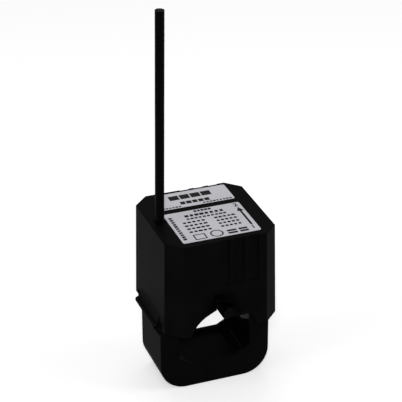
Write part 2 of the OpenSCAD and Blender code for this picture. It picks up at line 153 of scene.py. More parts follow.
# Faint rings from the extruder run round the jacket, all along its length.
jacket_pvc = new_material("jacket_pvc", Specular_IOR_Level=0.01)
extruder_rings = noise_pattern(jacket_pvc, 900, stretch=(0.15, 0.15, 1))
colour_from(jacket_pvc, extruder_rings, (0.0013, 0.0012, 0.0013), (0.0022, 0.0021, 0.0022))
roughness_from(jacket_pvc, extruder_rings, 0.3, 0.42)
bump_from(jacket_pvc, extruder_rings, 0.12, 0.2 * MM)

lead_line = with_midpoints(lead_route)
lead_curve = bpy.data.curves.new("output_lead_jacket", "CURVE")
lead_curve.dimensions = "3D"
lead_curve.bevel_depth = lead_d / 2
lead_curve.bevel_resolution = 8
lead_curve.use_fill_caps = True
spline = lead_curve.splines.new("POLY")
spline.points.add(len(lead_line) - 1)
for point, place in zip(spline.points, lead_line):
    point.co = (*place, 1)
spline.use_smooth = True
lead_curve.materials.append(jacket_pvc)
lead = bpy.data.objects.new("output_lead_jacket", lead_curve)
bpy.context.scene.collection.objects.link(lead)
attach(lead, "upper")
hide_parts("output_lead")


# ---- Housing ----
# One injection moulding in black plastic, with the fine grain of a spark-eroded
# tool, slight draft on its walls and every outer edge a little rounded. The barrel
# of the hinge, the grip flutes and the scoop over the arch are part of it.


def softened(node, name, width, material, reshape=None):
    """A copy of a CAD node with its flat faces joined up and its sharp edges rounded."""
    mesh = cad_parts[node].data.copy()
    mesh.name = name
    piece = bpy.data.objects.new(name, mesh)
    bpy.context.scene.collection.objects.link(piece)
    work = bmesh.new()
    work.from_mesh(mesh)
    bmesh.ops.remove_doubles(work, verts=work.verts, dist=2e-6)
    bmesh.ops.dissolve_limit(
        work, angle_limit=math.radians(0.5), use_dissolve_boundaries=False,
        verts=work.verts, edges=work.edges)
    if reshape:
        for vert in work.verts:
            reshape(vert.co)
    for face in work.faces:
        face.smooth = True
    work.to_mesh(mesh)
    work.free()
    mesh.materials.clear()
    mesh.materials.append(material)
    bevel = piece.modifiers.new("rounded edges", "BEVEL")
    bevel.width = width
    bevel.segments = 2
    bevel.limit_method = "ANGLE"
    bevel.angle_limit = math.radians(28)
    bevel.use_clamp_overlap = True
    facing = piece.modifiers.new("flats shade flat", "WEIGHTED_NORMAL")
    facing.mode = "FACE_AREA"
    facing.weight = 100
    facing.keep_sharp = True
    return piece


def eroded_plastic(name, dark, pale, gloss, sheen_level):
    """Moulded plastic with the fine grain of a spark-eroded tool and faint clouding."""
    material = new_material(name, Specular_IOR_Level=sheen_level)
    cloud = noise_pattern(material, 60, detail=4)
    colour_from(material, cloud, dark, pale)
    roughness_from(material, cloud, gloss - 0.05, gloss + 0.05)
    bump_from(material, noise_pattern(material, 3500, detail=2), 0.25, 0.08 * MM)
    return material


def paint_hollow_shade(material):
    """Painted shade: the base colour fades to nearly black towards the middle of the hollow."""
    nodes, links = material.node_tree.nodes, material.node_tree.links
    shader = nodes["Principled BSDF"]
    plain = shader.inputs["Base Color"].links[0].from_socket
    place = nodes.new("ShaderNodeTexCoord")
    away = nodes.new("ShaderNodeVectorMath")
    away.operation = "DISTANCE"
    away.inputs[1].default_value = shade_middle
    links.new(place.outputs["Object"], away.inputs[0])
    fade = nodes.new("ShaderNodeMapRange")
    fade.interpolation_type = "SMOOTHSTEP"
    fade.inputs["From Max"].default_value = shade_reach
    fade.inputs["To Min"].default_value = shade_share
    links.new(away.outputs["Value"], fade.inputs["Value"])
    toned = nodes.new("ShaderNodeVectorMath")
    toned.operation = "SCALE"
    links.new(plain, toned.inputs[0])
    links.new(fade.outputs["Result"], toned.inputs["Scale"])
    links.new(toned.outputs["Vector"], shader.inputs["Base Color"])


shell_dark, shell_pale = (0.0021, 0.0019, 0.0021), (0.0031, 0.0029, 0.0032)
# Where the painted shade round the hollow is darkest, how far it reaches, and its darkest share.
shade_middle = Vector((-2.0, -31.0, 57.0)) * MM
shade_reach = 15 * MM
shade_share = 0.02

# Most of the housing, with painted shade darkening the front's black round the hollow over the arch.
front_plastic = eroded_plastic("front_plastic", shell_dark, shell_pale, gloss=0.5, sheen_level=0.006)
paint_hollow_shade(front_plastic)

# The hollow's own faces take a shaded copy of the plastic: less sheen and the same painted shade.
hollow_shade_plastic = eroded_plastic("hollow_shade_plastic", shell_dark, shell_pale, gloss=0.65, sheen_level=0.003)
paint_hollow_shade(hollow_shade_plastic)

# The steep side walls of the grip flutes take a far darker, duller copy of the plastic: painted shade.
groove_shade_plastic = eroded_plastic(
    "groove_shade_plastic", (0.0003, 0.0003, 0.0003), (0.0007, 0.0007, 0.0007), gloss=0.7, sheen_level=0.001)

top_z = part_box("housing")[1].z
flute_foot_z = top_z - 27.5 * MM
flute_floor_y = 31.15 * MM
flute_rise = 1.3 * MM
flutes_half_w = 22 * MM
scoop_middle = Vector((-2.5, -29.0, 61.0)) * MM
scoop_reach = 11 * MM


def shallow_flutes(place):
    """The floors of the grip flutes run out towards their lower ends."""
    on_floor = abs(abs(place.y) - flute_floor_y) < 0.01 * MM
    if on_floor and abs(place.x) < flutes_half_w and place.z > flute_foot_z - 0.1 * MM:
        rise = flute_rise * (top_z - place.z) / (top_z - flute_foot_z)
        place.y += math.copysign(rise, place.y)


def in_hollow(face):
    """One of the scoop's faces, which lean away from the front's."""
    near = (face.center - scoop_middle).length < scoop_reach
    return near and face.normal.y > -0.99 and face.center.y < -22 * MM


def in_flute_wall(face):
    """One of the flutes' side walls, which face along the front and not out of it."""
    across = abs(face.center.x) < flutes_half_w and abs(face.center.y) > flute_floor_y - 0.65 * MM
    upright = flute_foot_z - 1 * MM < face.center.z < top_z - 1 * MM
    return across and upright and abs(face.normal.y) < 0.7


housing = softened("housing", "upper_housing", 0.35 * MM, front_plastic, shallow_flutes)
housing.data.materials.append(hollow_shade_plastic)
housing.data.materials.append(groove_shade_plastic)
# The scoop's faces take the shaded copy with painted shade, and the flutes' side walls the darkest copy,
# also painted shade.
for face in housing.data.polygons:
    if in_hollow(face):
        face.material_index = 1
    if in_flute_wall(face):
        face.material_index = 2
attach(housing, "upper")
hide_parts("housing")


# ---- Jaw shell ----
# The hinged jaw is a second moulding of the same plastic. It carries the hinge's
# two knuckles on the left and the snap tongue that holds the jaw shut on the right.

window_floor = 14.2
wall_inside_y = 14.5
rear_lip = 1.0
sill_half_w = 14

shell_plastic = eroded_plastic("shell_plastic", shell_dark, shell_pale, gloss=0.5, sheen_level=0.006)


def raised_rear_sill(place):
    """The window's sill stands a little higher in the rear wall than in the front one."""
    on_sill = abs(place.z - window_floor * MM) < 0.02 * MM and abs(place.x) < sill_half_w * MM
    if on_sill and place.y > (wall_inside_y - 0.1) * MM:
        place.z += rear_lip * MM


jaw = softened("jaw_shell", "hinged_jaw", 0.35 * MM, shell_plastic, raised_rear_sill)
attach(jaw, "jaw")
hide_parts("jaw_shell")


# ---- Window lining and arch ----
# Two inner mouldings shut the cores in: a thin trough along the jaw's side walls and
# floor, set a little behind the edges of the end walls, and the tunnel under the arch.

lining_plastic = eroded_plastic(
    "lining_plastic", (0.0018, 0.0016, 0.0018), (0.0027, 0.0025, 0.0027), gloss=0.42, sheen_level=0.006)

window_half = 21.2
corner_w, corner_h, fold = 7.9, 5.0, 0.65
lining_back = 1.4
lining_outer = 1.65
jaw_top = 43.7


def window_side(grown):
    """Right half of the window's outline, from the top down, grown outwards: X and Z."""
    steep = math.atan((corner_h + 2 * fold) / corner_w)
    flat = math.atan((corner_h - 2 * fold) / corner_w)
    lean = grown / (1 + math.cos(steep - flat))
    return [
        (window_half + grown, jaw_top),
        (window_half + grown,
         window_floor + corner_h - grown * (1 - math.sin(flat)) / math.cos(flat)),
        (window_half - corner_w / 2 + lean * (math.sin(flat) + math.sin(steep)),
         window_floor + corner_h / 2 + fold - lean * (math.cos(flat) + math.cos(steep))),
        (window_half - corner_w + grown * math.tan(steep / 2), window_floor - grown),
    ]


def finished(name, work, material):
    """The mesh in work as an object with its faces turned outwards."""
    bmesh.ops.recalc_face_normals(work, faces=work.faces)
    mesh = bpy.data.meshes.new(name)
    work.to_mesh(mesh)
    work.free()
    mesh.materials.append(material)
    piece = bpy.data.objects.new(name, mesh)
    bpy.context.scene.collection.objects.link(piece)
    return piece


def bar_between(near, far):
    """A closed bar between two outlines that have as many corners each, in millimetres."""
    work = bmesh.new()
    near, far = ([work.verts.new(Vector(corner) * MM) for corner in end] for end in (near, far))
    for i in range(len(near)):
        j = (i + 1) % len(near)
        work.faces.new((near[i], near[j], far[j], far[i]))
    work.faces.new(near)
    work.faces.new(far[::-1])
    return work


def trough(name, material):
    """The lining as one closed strip of even section, as long as the room for the core."""
    def whole(grown):
        right = window_side(grown)
        return right + [(-x, z) for x, z in reversed(right)]

    work = bmesh.new()
    rings = []
    for y in (-wall_inside_y, wall_inside_y):
        for grown in (lining_back, lining_outer):
            rings.append([work.verts.new((x * MM, y * MM, z * MM)) for x, z in whole(grown)])
    front_in, front_out, back_in, back_out = rings
    last = len(front_in) - 1
    for i in range(last):
        work.faces.new((front_in[i], front_in[i + 1], back_in[i + 1], back_in[i]))
        work.faces.new((front_out[i + 1], front_out[i], back_out[i], back_out[i + 1]))
        work.faces.new((front_in[i + 1], front_in[i], front_out[i], front_out[i + 1]))
        work.faces.new((back_in[i], back_in[i + 1], back_out[i + 1], back_out[i]))
    for i in (0, last):
        work.faces.new((front_in[i], back_in[i], back_out[i], front_out[i]))
    return finished(name, work, material)


# The lining's side under the stop is painted a deeper black with less sheen than its floor: painted shade.
lining_shade_plastic = eroded_plastic(
    "lining_painted_shade", (0.0009, 0.0008, 0.0009), (0.0015, 0.0014, 0.0015), gloss=0.6, sheen_level=0.002)

lining = trough("window_lining", lining_plastic)
lining.data.materials.append(lining_shade_plastic)
for face in lining.data.polygons:
    if face.center.x > (window_half - corner_w) * MM:
        face.material_index = 1
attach(lining, "jaw")
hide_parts("jaw_liner")

# A low bead runs back along the fold of that side, from the front wall to past the middle.
# Its much paler plastic is a painted highlight along the fold.
bead_highlight_plastic = eroded_plastic(
    "bead_highlight_plastic", (0.0065, 0.006, 0.0065), (0.009, 0.0085, 0.009), gloss=0.45, sheen_level=0.01)
bead_h, bead_half, bead_sunk, bead_crest_half = 0.35, 0.4, 0.1, 0.1
bead_end_y = 7.4
fold_x, fold_z = window_side(lining_back)[2]
slope = math.atan(corner_h / corner_w)
along = Vector((math.cos(slope), 0, math.sin(slope)))
out = Vector((-math.sin(slope), 0, math.cos(slope)))
bead_section = (
    along * -bead_half - out * bead_sunk, out * bead_h - along * bead_crest_half,
    out * bead_h + along * bead_crest_half, along * bead_half - out * bead_sunk)
bead_ends = [[Vector((fold_x, y, fold_z)) + corner for corner in bead_section]
             for y in (-wall_inside_y, bead_end_y)]
bead_piece = finished("lining_bead", bar_between(*bead_ends), bead_highlight_plastic)
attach(bead_piece, "jaw")

tunnel = softened("arch_liner", "arch_tunnel", 0.15 * MM, lining_plastic)
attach(tunnel, "upper")
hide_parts("arch_liner")


# ---- Conductor stop ----
# A block of dark grey plastic that stands in from the window's right side and
# steadies a thin conductor. Its foot plate lies on the lining, between the end walls.
# The plate's much paler plastic is a painted patch of light on the window's side, and
# its slanted lower edge follows where that light ends.

stop_plastic = eroded_plastic(
    "stop_plastic", (0.0048, 0.0046, 0.0048), (0.0066, 0.0063, 0.0066), gloss=0.42, sheen_level=0.01)


def onto_lining(place):
    """The root of the block reaches back to the lining, behind the window's edge."""
    if abs(place.x - window_half * MM) < 0.01 * MM:
        place.x += lining_back * MM


# Its top and the face towards the conductor are painted a darker black with less sheen: painted shade.
stop_shade_plastic = new_material("stop_shade_plastic", Specular_IOR_Level=0.002)
stop_grain = noise_pattern(stop_shade_plastic, 2200, detail=4)
colour_from(stop_shade_plastic, stop_grain, (0.0007, 0.0007, 0.0007), (0.0014, 0.0013, 0.0014))
roughness_from(stop_shade_plastic, stop_grain, 0.65, 0.85)
bump_from(stop_shade_plastic, stop_grain, 0.3, 0.05 * MM)

stop = softened("conductor_stop", "stop_block", 0.2 * MM, stop_plastic, onto_lining)
stop.data.materials.append(stop_shade_plastic)
for face in stop.data.polygons:
    if face.normal.z > 0.5 or face.normal.x < -0.5:
        face.material_index = 1
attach(stop, "jaw")
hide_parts("conductor_stop")

# Painted light: the foot plate is far paler than the block, a lit patch made in plastic.
plate_light_plastic = eroded_plastic(
    "stop_plate_painted_light", (0.017, 0.016, 0.017), (0.024, 0.0225, 0.024), gloss=0.4, sheen_level=0.03)
plate_end_y = wall_inside_y - 0.15
plate_front_low, plate_rear_low = 35.4, 30.6
stop_front_y, plate_low_at_stop = -3.4, 29.6
plate_outline = [
    (-plate_end_y, jaw_top), (-plate_end_y, plate_front_low), (stop_front_y, plate_low_at_stop),
    (plate_end_y, plate_rear_low), (plate_end_y, jaw_top)]
plate_sides = [[(x, y, z) for y, z in plate_outline] for x in (window_half, window_half + lining_back)]
foot_plate = finished("stop_foot_plate", bar_between(*plate_sides), plate_light_plastic)
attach(foot_plate, "jaw")


# ---- Bush, clamp, cores and pins of the lead ----
# A soft bush lines the hole in the top. Inside, a clamp grips the jacket, and the
# two insulated cores bend over to tinned pins in the bobbin, where they are soldered.


def dress(node, material):
    """A CAD node stays as it is and takes the material in all its slots."""
    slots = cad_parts[node].material_slots
    for place in slots:
        place.material = material
    if not slots:
        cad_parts[node].data.materials.append(material)


bush_rubber = new_material("bush_rubber", Specular_IOR_Level=0.02)
bush_grain = noise_pattern(bush_rubber, 1800, detail=4)
colour_from(bush_rubber, bush_grain, (0.0012, 0.0012, 0.0012), (0.0024, 0.0023, 0.0024))
roughness_from(bush_rubber, bush_grain, 0.6, 0.8)
bump_from(bush_rubber, bush_grain, 0.3, 0.06 * MM)

bush = softened("cable_bush", "lead_bush", 0.2 * MM, bush_rubber)
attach(bush, "upper")
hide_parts("cable_bush")

dress("lead_clamp", lining_plastic)

for node, name, dark, pale in (
        ("lead_core_1", "brown_insulation", (0.09, 0.036, 0.014), (0.13, 0.055, 0.022)),
        ("lead_core_2", "blue_insulation", (0.012, 0.05, 0.22), (0.02, 0.08, 0.32))):
    insulation = new_material(name, Specular_IOR_Level=0.4)
    streaks = noise_pattern(insulation, 1200, stretch=(0.3, 1, 1))
    colour_from(insulation, streaks, dark, pale)
    roughness_from(insulation, streaks, 0.28, 0.4)
    bump_from(insulation, streaks, 0.1, 0.05 * MM)
    dress(node, insulation)

tinned_metal = new_material("tinned_metal", Metallic=1.0)
solder_skin = noise_pattern(tinned_metal, 1500, detail=4)
colour_from(tinned_metal, solder_skin, (0.55, 0.55, 0.54), (0.78, 0.78, 0.77))
roughness_from(tinned_metal, solder_skin, 0.16, 0.34)
bump_from(tinned_metal, solder_skin, 0.3, 0.04 * MM)
dress("terminal_pins", tinned_metal)


# ---- Cores ----
# Each core half is a C cut from a loop of thin silicon steel strip, wound up and
# bonded. The edges of the strip show as fine lines that run round the C, and the
# pole faces that meet at the split are ground flat.

strip_t = 0.3 * MM
bend_outer_r = 11.9 * MM


def math_step(tree, operation, *values):
    """The output of a Math node whose inputs are numbers or other sockets."""
    node = tree.nodes.new("ShaderNodeMath")
    node.operation = operation
    for socket, value in zip(node.inputs, values):
        if isinstance(value, (int, float)):
            socket.default_value = value
        else:
            tree.links.new(value, socket)
    return node.outputs[0]


def wound_strip(name, node, opens_up):
    """Lines at equal depths below the outside of the C, which is round at its bends."""
    low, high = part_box(node)
    material = new_material(name, Metallic=1.0)
    nodes, links = material.node_tree.nodes, material.node_tree.links
    step = partial(math_step, material.node_tree)
    place = nodes.new("ShaderNodeTexCoord")
    split = nodes.new("ShaderNodeSeparateXYZ")
    links.new(place.outputs["Object"], split.inputs["Vector"])
    across = step("SUBTRACT", step("ABSOLUTE", split.outputs["X"]), high.x - bend_outer_r)
    if opens_up:
        down = step("SUBTRACT", low.z + bend_outer_r, split.outputs["Z"])
    else:
        down = step("SUBTRACT", split.outputs["Z"], high.z - bend_outer_r)
    beyond_x = step("MAXIMUM", across, 0.0)
    beyond_z = step("MAXIMUM", down, 0.0)
    corner = step("SQRT", step(
        "ADD", step("MULTIPLY", beyond_x, beyond_x), step("MULTIPLY", beyond_z, beyond_z)))
    inside = step("MINIMUM", step("MAXIMUM", across, down), 0.0)
    turns = step("DIVIDE", step("ADD", corner, inside), strip_t)
    saw = step("PINGPONG", turns, 0.5)
    line = step("MULTIPLY", saw, 2.0)
    colour_from(material, line, (0.10, 0.10, 0.11), (0.46, 0.46, 0.48), low=0.05, high=0.35)
    roughness_from(material, noise_pattern(material, 900, detail=4), 0.25, 0.42)
    bump_from(material, line, 0.3, 0.03 * MM)
    return material


dress("upper_core", wound_strip("upper_strip", "upper_core", opens_up=False))
dress("lower_core", wound_strip("lower_strip", "lower_core", opens_up=True))


# ---- Bobbin, winding and wrap ----
# A bobbin of natural nylon sits on the upper core's yoke. It carries the turns of
# enamelled copper wire, side by side, under a wrap of yellow polyester tape.

nylon = new_material("natural_nylon", Specular_IOR_Level=0.4, Subsurface_Weight=0.1)
nylon_cloud = noise_pattern(nylon, 140, detail=4)
colour_from(nylon, nylon_cloud, (0.62, 0.58, 0.48), (0.74, 0.71, 0.62))
roughness_from(nylon, nylon_cloud, 0.38, 0.5)
bump_from(nylon, noise_pattern(nylon, 2600), 0.15, 0.05 * MM)
dress("bobbin", nylon)

wire_d = 0.5 * MM


def wire_turns_tree():
    """Closed turns of round wire in a row along X, each a rounded rectangle in YZ."""
    tree = bpy.data.node_groups.new("wire_turns", "GeometryNodeTree")
    sides = tree.interface
    sides.new_socket("Geometry", in_out="OUTPUT", socket_type="NodeSocketGeometry")
    keys = {}
    for name, kind in (
            ("Turns", "Int"), ("Wire", "Float"), ("Depth", "Float"), ("Height", "Float"),
            ("Bend", "Float"), ("Middle", "Vector"), ("Enamel", "Material")):
        keys[name] = sides.new_socket(
            name, in_out="INPUT", socket_type="NodeSocket" + kind).identifier
    nodes, links = tree.nodes, tree.links
    given = nodes.new("NodeGroupInput")
    result = nodes.new("NodeGroupOutput")
    step = partial(math_step, tree)
    path = nodes.new("GeometryNodeCurvePrimitiveQuadrilateral")
    links.new(step("SUBTRACT", given.outputs["Depth"], given.outputs["Wire"]), path.inputs["Width"])
    links.new(step("SUBTRACT", given.outputs["Height"], given.outputs["Wire"]), path.inputs["Height"])
    fillet = nodes.new("GeometryNodeFilletCurve")
    fillet.mode = "POLY"
    fillet.inputs["Count"].default_value = 3
    links.new(path.outputs["Curve"], fillet.inputs["Curve"])
    links.new(given.outputs["Bend"], fillet.inputs["Radius"])
    section = nodes.new("GeometryNodeCurvePrimitiveCircle")
    section.inputs["Resolution"].default_value = 6
    links.new(step("MULTIPLY", given.outputs["Wire"], 0.49), section.inputs["Radius"])
    turn = nodes.new("GeometryNodeCurveToMesh")
    links.new(fillet.outputs["Curve"], turn.inputs["Curve"])
    links.new(section.outputs["Curve"], turn.inputs["Profile Curve"])
    upright = nodes.new("GeometryNodeTransform")
    upright.inputs["Rotation"].default_value = (math.pi / 2, 0, math.pi / 2)
    links.new(turn.outputs["Mesh"], upright.inputs["Geometry"])
    spacing = nodes.new("ShaderNodeCombineXYZ")
    links.new(given.outputs["Wire"], spacing.inputs["X"])
    start = nodes.new("ShaderNodeCombineXYZ")
    span = step("MULTIPLY", step("SUBTRACT", given.outputs["Turns"], 1), given.outputs["Wire"])
    links.new(step("MULTIPLY", span, -0.5), start.inputs["X"])
    first = nodes.new("ShaderNodeVectorMath")
    first.operation = "ADD"
    links.new(start.outputs["Vector"], first.inputs[0])
    links.new(given.outputs["Middle"], first.inputs[1])
    row = nodes.new("GeometryNodeMeshLine")
    links.new(given.outputs["Turns"], row.inputs["Count"])
    links.new(first.outputs["Vector"], row.inputs["Start Location"])
    links.new(spacing.outputs["Vector"], row.inputs["Offset"])
    laid = nodes.new("GeometryNodeInstanceOnPoints")
    links.new(row.outputs["Mesh"], laid.inputs["Points"])
    links.new(upright.outputs["Geometry"], laid.inputs["Instance"])
    solid = nodes.new("GeometryNodeRealizeInstances")
    links.new(laid.outputs["Instances"], solid.inputs["Geometry"])
    coat = nodes.new("GeometryNodeSetMaterial")
    links.new(solid.outputs["Geometry"], coat.inputs["Geometry"])
    links.new(given.outputs["Enamel"], coat.inputs["Material"])
    links.new(coat.outputs["Geometry"], result.inputs["Geometry"])
    return tree, keys


def built_by(tree, keys, name, values, smooth=False):
    """A plain mesh object made by a node tree from the named values."""
    mesh = bpy.data.meshes.new(name)
    maker = bpy.data.objects.new(name + "_maker", mesh)
    bpy.context.scene.collection.objects.link(maker)
    modifier = maker.modifiers.new("maker", "NODES")
    modifier.node_group = tree
    for key, value in values.items():
        modifier[keys[key]] = value
    maker.data.update()
    evaluated = maker.evaluated_get(bpy.context.evaluated_depsgraph_get())
    made = bpy.data.meshes.new_from_object(evaluated)
    made.name = name
    bpy.data.objects.remove(maker)
    work = bmesh.new()
    work.from_mesh(made)
    bmesh.ops.recalc_face_normals(work, faces=work.faces)
    for face in work.faces:
        face.smooth = smooth
    work.to_mesh(made)
    work.free()
    piece = bpy.data.objects.new(name, made)
    bpy.context.scene.collection.objects.link(piece)
    return piece


enamelled_copper = new_material("enamelled_copper", Metallic=1.0)
enamel_tone = noise_pattern(enamelled_copper, 260, detail=3)
colour_from(enamelled_copper, enamel_tone, (0.48, 0.17, 0.06), (0.66, 0.29, 0.12))
roughness_from(enamelled_copper, enamel_tone, 0.2, 0.34)
bump_from(enamelled_copper, noise_pattern(enamelled_copper, 4000), 0.1, 0.02 * MM)

turns_tree, turns_keys = wire_turns_tree()
coil_low, coil_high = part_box("secondary_winding")
coil_size = coil_high - coil_low
coil = built_by(turns_tree, turns_keys, "copper_turns", {
    "Turns": int(coil_size.x / wire_d),
    "Wire": wire_d,
    "Depth": coil_size.y,
    "Height": coil_size.z,
    "Bend": 2.0 * MM,
    "Middle": (coil_low + coil_high) / 2,
    "Enamel": enamelled_copper,
}, smooth=True)
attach(coil, "upper")
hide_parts("secondary_winding")

wrap_film = new_material("wrap_film", Specular_IOR_Level=0.5)
tape_edges = noise_pattern(wrap_film, 320, detail=1, stretch=(1, 0.04, 0.04))
colour_from(wrap_film, tape_edges, (0.55, 0.40, 0.05), (0.78, 0.62, 0.14))
roughness_from(wrap_film, tape_edges, 0.2, 0.36)
bump_from(wrap_film, tape_edges, 0.5, 0.1 * MM)
dress("winding_wrap", wrap_film)


# ---- Springs and hinge pin ----
# Two bowed strips of spring steel under the lower yoke press the jaw's core up
# against the other one. The hinge turns on a ground steel pin held by the barrel.

for name, nodes_dressed, dark, pale, stretch in (
        ("rolled_spring_steel", ("left_spring", "right_spring"),
         (0.30, 0.30, 0.32), (0.46, 0.46, 0.49), (0.06, 1, 1)),
        ("ground_pin_steel", ("hinge_pin",),
         (0.30, 0.29, 0.28), (0.44, 0.43, 0.42), (1, 0.1, 1))):
    steel = new_material(name, Metallic=1.0)
    rolled_lines = noise_pattern(steel, 2200, detail=4, stretch=stretch)
    colour_from(steel, rolled_lines, dark, pale)
    roughness_from(steel, rolled_lines, 0.28, 0.45)
    bump_from(steel, rolled_lines, 0.15, 0.02 * MM)
    for node in nodes_dressed:
        dress(node, steel)


# ---- Labels ----
# Two labels of pale polyester film, with rounded corners, stuck on the flat top.
# The one at the back has a corner cut away beside the lead.

label_film = new_material("label_film", Specular_IOR_Level=0.25)
film_cloud = noise_pattern(label_film, 45, detail=3)
colour_from(label_film, film_cloud, (0.47, 0.46, 0.497), (0.51, 0.50, 0.537))
roughness_from(label_film, film_cloud, 0.36, 0.48)
bump_from(label_film, noise_pattern(label_film, 700, detail=2), 0.08, 0.05 * MM)
dress("rating_label", label_film)

header_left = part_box("header_label")[0].x + 1.1 * MM


def clear_of_lead(place):
    """The header label's left edge is cut back a little further, to clear the lead."""
    place.x = max(place.x, header_left)


header = softened("header_label", "header_film", 0.03 * MM, label_film, clear_of_lead)
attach(header, "upper")
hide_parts("header_label")


# ---- Print on the labels ----
# Thin black ink, printed on the film: rows of plain bars, an arrow for the way the
# current flows with a plain 1 and 2 at its ends, and a row of plain shapes.

ink_t = 0.04 * MM
ink_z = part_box("rating_label")[1].z

printed_ink = new_material("printed_ink", Specular_IOR_Level=0.03)
ink_density = noise_pattern(printed_ink, 900, detail=3)
colour_from(printed_ink, ink_density, (0.006, 0.0055, 0.006), (0.012, 0.011, 0.012))
roughness_from(printed_ink, ink_density, 0.45, 0.6)
bump_from(printed_ink, ink_density, 0.1, 0.01 * MM)


def printed_rows_tree():
    """Rows of bars of uneven length, like words, as thin raised blocks of ink."""
    tree = bpy.data.node_groups.new("printed_rows", "GeometryNodeTree")
    sides = tree.interface
    sides.new_socket("Geometry", in_out="OUTPUT", socket_type="NodeSocketGeometry")
    keys = {}
    for name, kind in (
            ("Words", "Int"), ("Rows", "Int"), ("Width", "Float"), ("Row Pitch", "Float"),
            ("Bar", "Float"), ("Shortest", "Float"), ("Longest", "Float"), ("Ink Depth", "Float"),
            ("Turn", "Vector"), ("Middle", "Vector"), ("Seed", "Int"), ("Ink", "Material")):
        keys[name] = sides.new_socket(
            name, in_out="INPUT", socket_type="NodeSocket" + kind).identifier
    nodes, links = tree.nodes, tree.links
    given = nodes.new("NodeGroupInput")
    result = nodes.new("NodeGroupOutput")
    step = partial(math_step, tree)
    cell = step("DIVIDE", given.outputs["Width"], given.outputs["Words"])
    grid = nodes.new("GeometryNodeMeshGrid")
    links.new(step("SUBTRACT", given.outputs["Width"], cell), grid.inputs["Size X"])
    links.new(step(
        "MULTIPLY", given.outputs["Row Pitch"], step("SUBTRACT", given.outputs["Rows"], 1)),
        grid.inputs["Size Y"])
    links.new(given.outputs["Words"], grid.inputs["Vertices X"])
    links.new(given.outputs["Rows"], grid.inputs["Vertices Y"])
    share = nodes.new("FunctionNodeRandomValue")
    share.data_type = "FLOAT"
    links.new(given.outputs["Shortest"], share.inputs[2])
    links.new(given.outputs["Longest"], share.inputs[3])
    links.new(given.outputs["Seed"], share.inputs["Seed"])
    size = nodes.new("ShaderNodeCombineXYZ")
    links.new(step("MULTIPLY", cell, share.outputs[1]), size.inputs["X"])
    links.new(given.outputs["Bar"], size.inputs["Y"])
    links.new(given.outputs["Ink Depth"], size.inputs["Z"])
    bar = nodes.new("GeometryNodeMeshCube")
    laid = nodes.new("GeometryNodeInstanceOnPoints")
    links.new(grid.outputs["Mesh"], laid.inputs["Points"])
    links.new(bar.outputs["Mesh"], laid.inputs["Instance"])
    links.new(size.outputs["Vector"], laid.inputs["Scale"])
    placed = nodes.new("GeometryNodeTransform")
    links.new(laid.outputs["Instances"], placed.inputs["Geometry"])
    links.new(given.outputs["Middle"], placed.inputs["Translation"])
    links.new(given.outputs["Turn"], placed.inputs["Rotation"])
    solid = nodes.new("GeometryNodeRealizeInstances")
    links.new(placed.outputs["Geometry"], solid.inputs["Geometry"])
    coat = nodes.new("GeometryNodeSetMaterial")
    links.new(solid.outputs["Geometry"], coat.inputs["Geometry"])
    links.new(given.outputs["Ink"], coat.inputs["Material"])
    links.new(coat.outputs["Geometry"], result.inputs["Geometry"])
    return tree, keys


rows_tree, rows_keys = printed_rows_tree()


def printed_rows(name, x, y, width, bar, words, rows=1, pitch=3.5, shortest=0.6, longest=0.88,
                 turn=0.0, seed=0):
    """A block of printed rows with its middle at x, y on the label, in millimetres."""
    block = built_by(rows_tree, rows_keys, name, {
        "Words": words,
        "Rows": rows,
        "Width": width * MM,
        "Row Pitch": pitch * MM,
        "Bar": bar * MM,
        "Shortest": shortest,
        "Longest": longest,
        "Ink Depth": ink_t,
        "Turn": (0.0, 0.0, math.radians(turn)),
        "Middle": (x * MM, y * MM, ink_z),
        "Seed": seed,
        "Ink": printed_ink,
    })
    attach(block, "upper")


printed_rows("header_heavy_bars", -0.3, 23.3, 25.6, 5.0, 4, shortest=0.82, longest=0.9, seed=3)
printed_rows("header_middle_bars", 0.3, 16.3, 18.0, 3.2, 5, shortest=0.72, longest=0.86, seed=5)
printed_rows("header_left_row", -14.6, 12.9, 11.6, 1.3, 6, seed=7)
printed_rows("header_right_row", 12.6, 12.9, 17.6, 1.3, 9, seed=9)
printed_rows("rating_first_row", 0.3, 4.9, 10.6, 2.0, 5, seed=11)
printed_rows("rating_second_row", -0.1, 0.9, 23.4, 2.4, 8, seed=13)
printed_rows("rating_third_row", 0.1, -2.5, 24.0, 1.6, 10, seed=15)
printed_rows("rating_left_column", -8.6, -11.6, 13.6, 1.7, 5, rows=4, pitch=3.55, seed=17)
printed_rows("rating_right_column", 9.4, -11.3, 12.6, 1.7, 5, rows=4, pitch=3.5, seed=19)
printed_rows("rating_edge_row", -19.8, -11.0, 27.0, 1.9, 11, turn=90, seed=21)


def thin_block(work, outline, hole=None):
    """A flat shape with straight sides, or a ring if it has a hole of as many corners."""
    low, high = ink_z - ink_t / 2, ink_z + ink_t / 2

    def corners(points, z):
        return [work.verts.new((x * MM, y * MM, z)) for x, y in points]

    count = len(outline)
    bottom, top = corners(outline, low), corners(outline, high)
    if hole:
        inner_bottom, inner_top = corners(hole, low), corners(hole, high)
    else:
        work.faces.new(top)
        work.faces.new(bottom[::-1])
    for i in range(count):
        j = (i + 1) % count
        work.faces.new((bottom[i], bottom[j], top[j], top[i]))
        if hole:
            work.faces.new((inner_bottom[j], inner_bottom[i], inner_top[i], inner_top[j]))
            work.faces.new((top[i], top[j], inner_top[j], inner_top[i]))
            work.faces.new((bottom[j], bottom[i], inner_bottom[i], inner_bottom[j]))


def box_outline(x, y, width, depth):
    """Four corners round a middle at x, y."""
    return [(x - width / 2, y - depth / 2), (x + width / 2, y - depth / 2),
            (x + width / 2, y + depth / 2), (x - width / 2, y + depth / 2)]


def round_outline(x, y, radius, count=28):
    """Corners on a circle round a middle at x, y."""
    return [(x + radius * math.cos(2 * math.pi * i / count),
             y + radius * math.sin(2 * math.pi * i / count)) for i in range(count)]


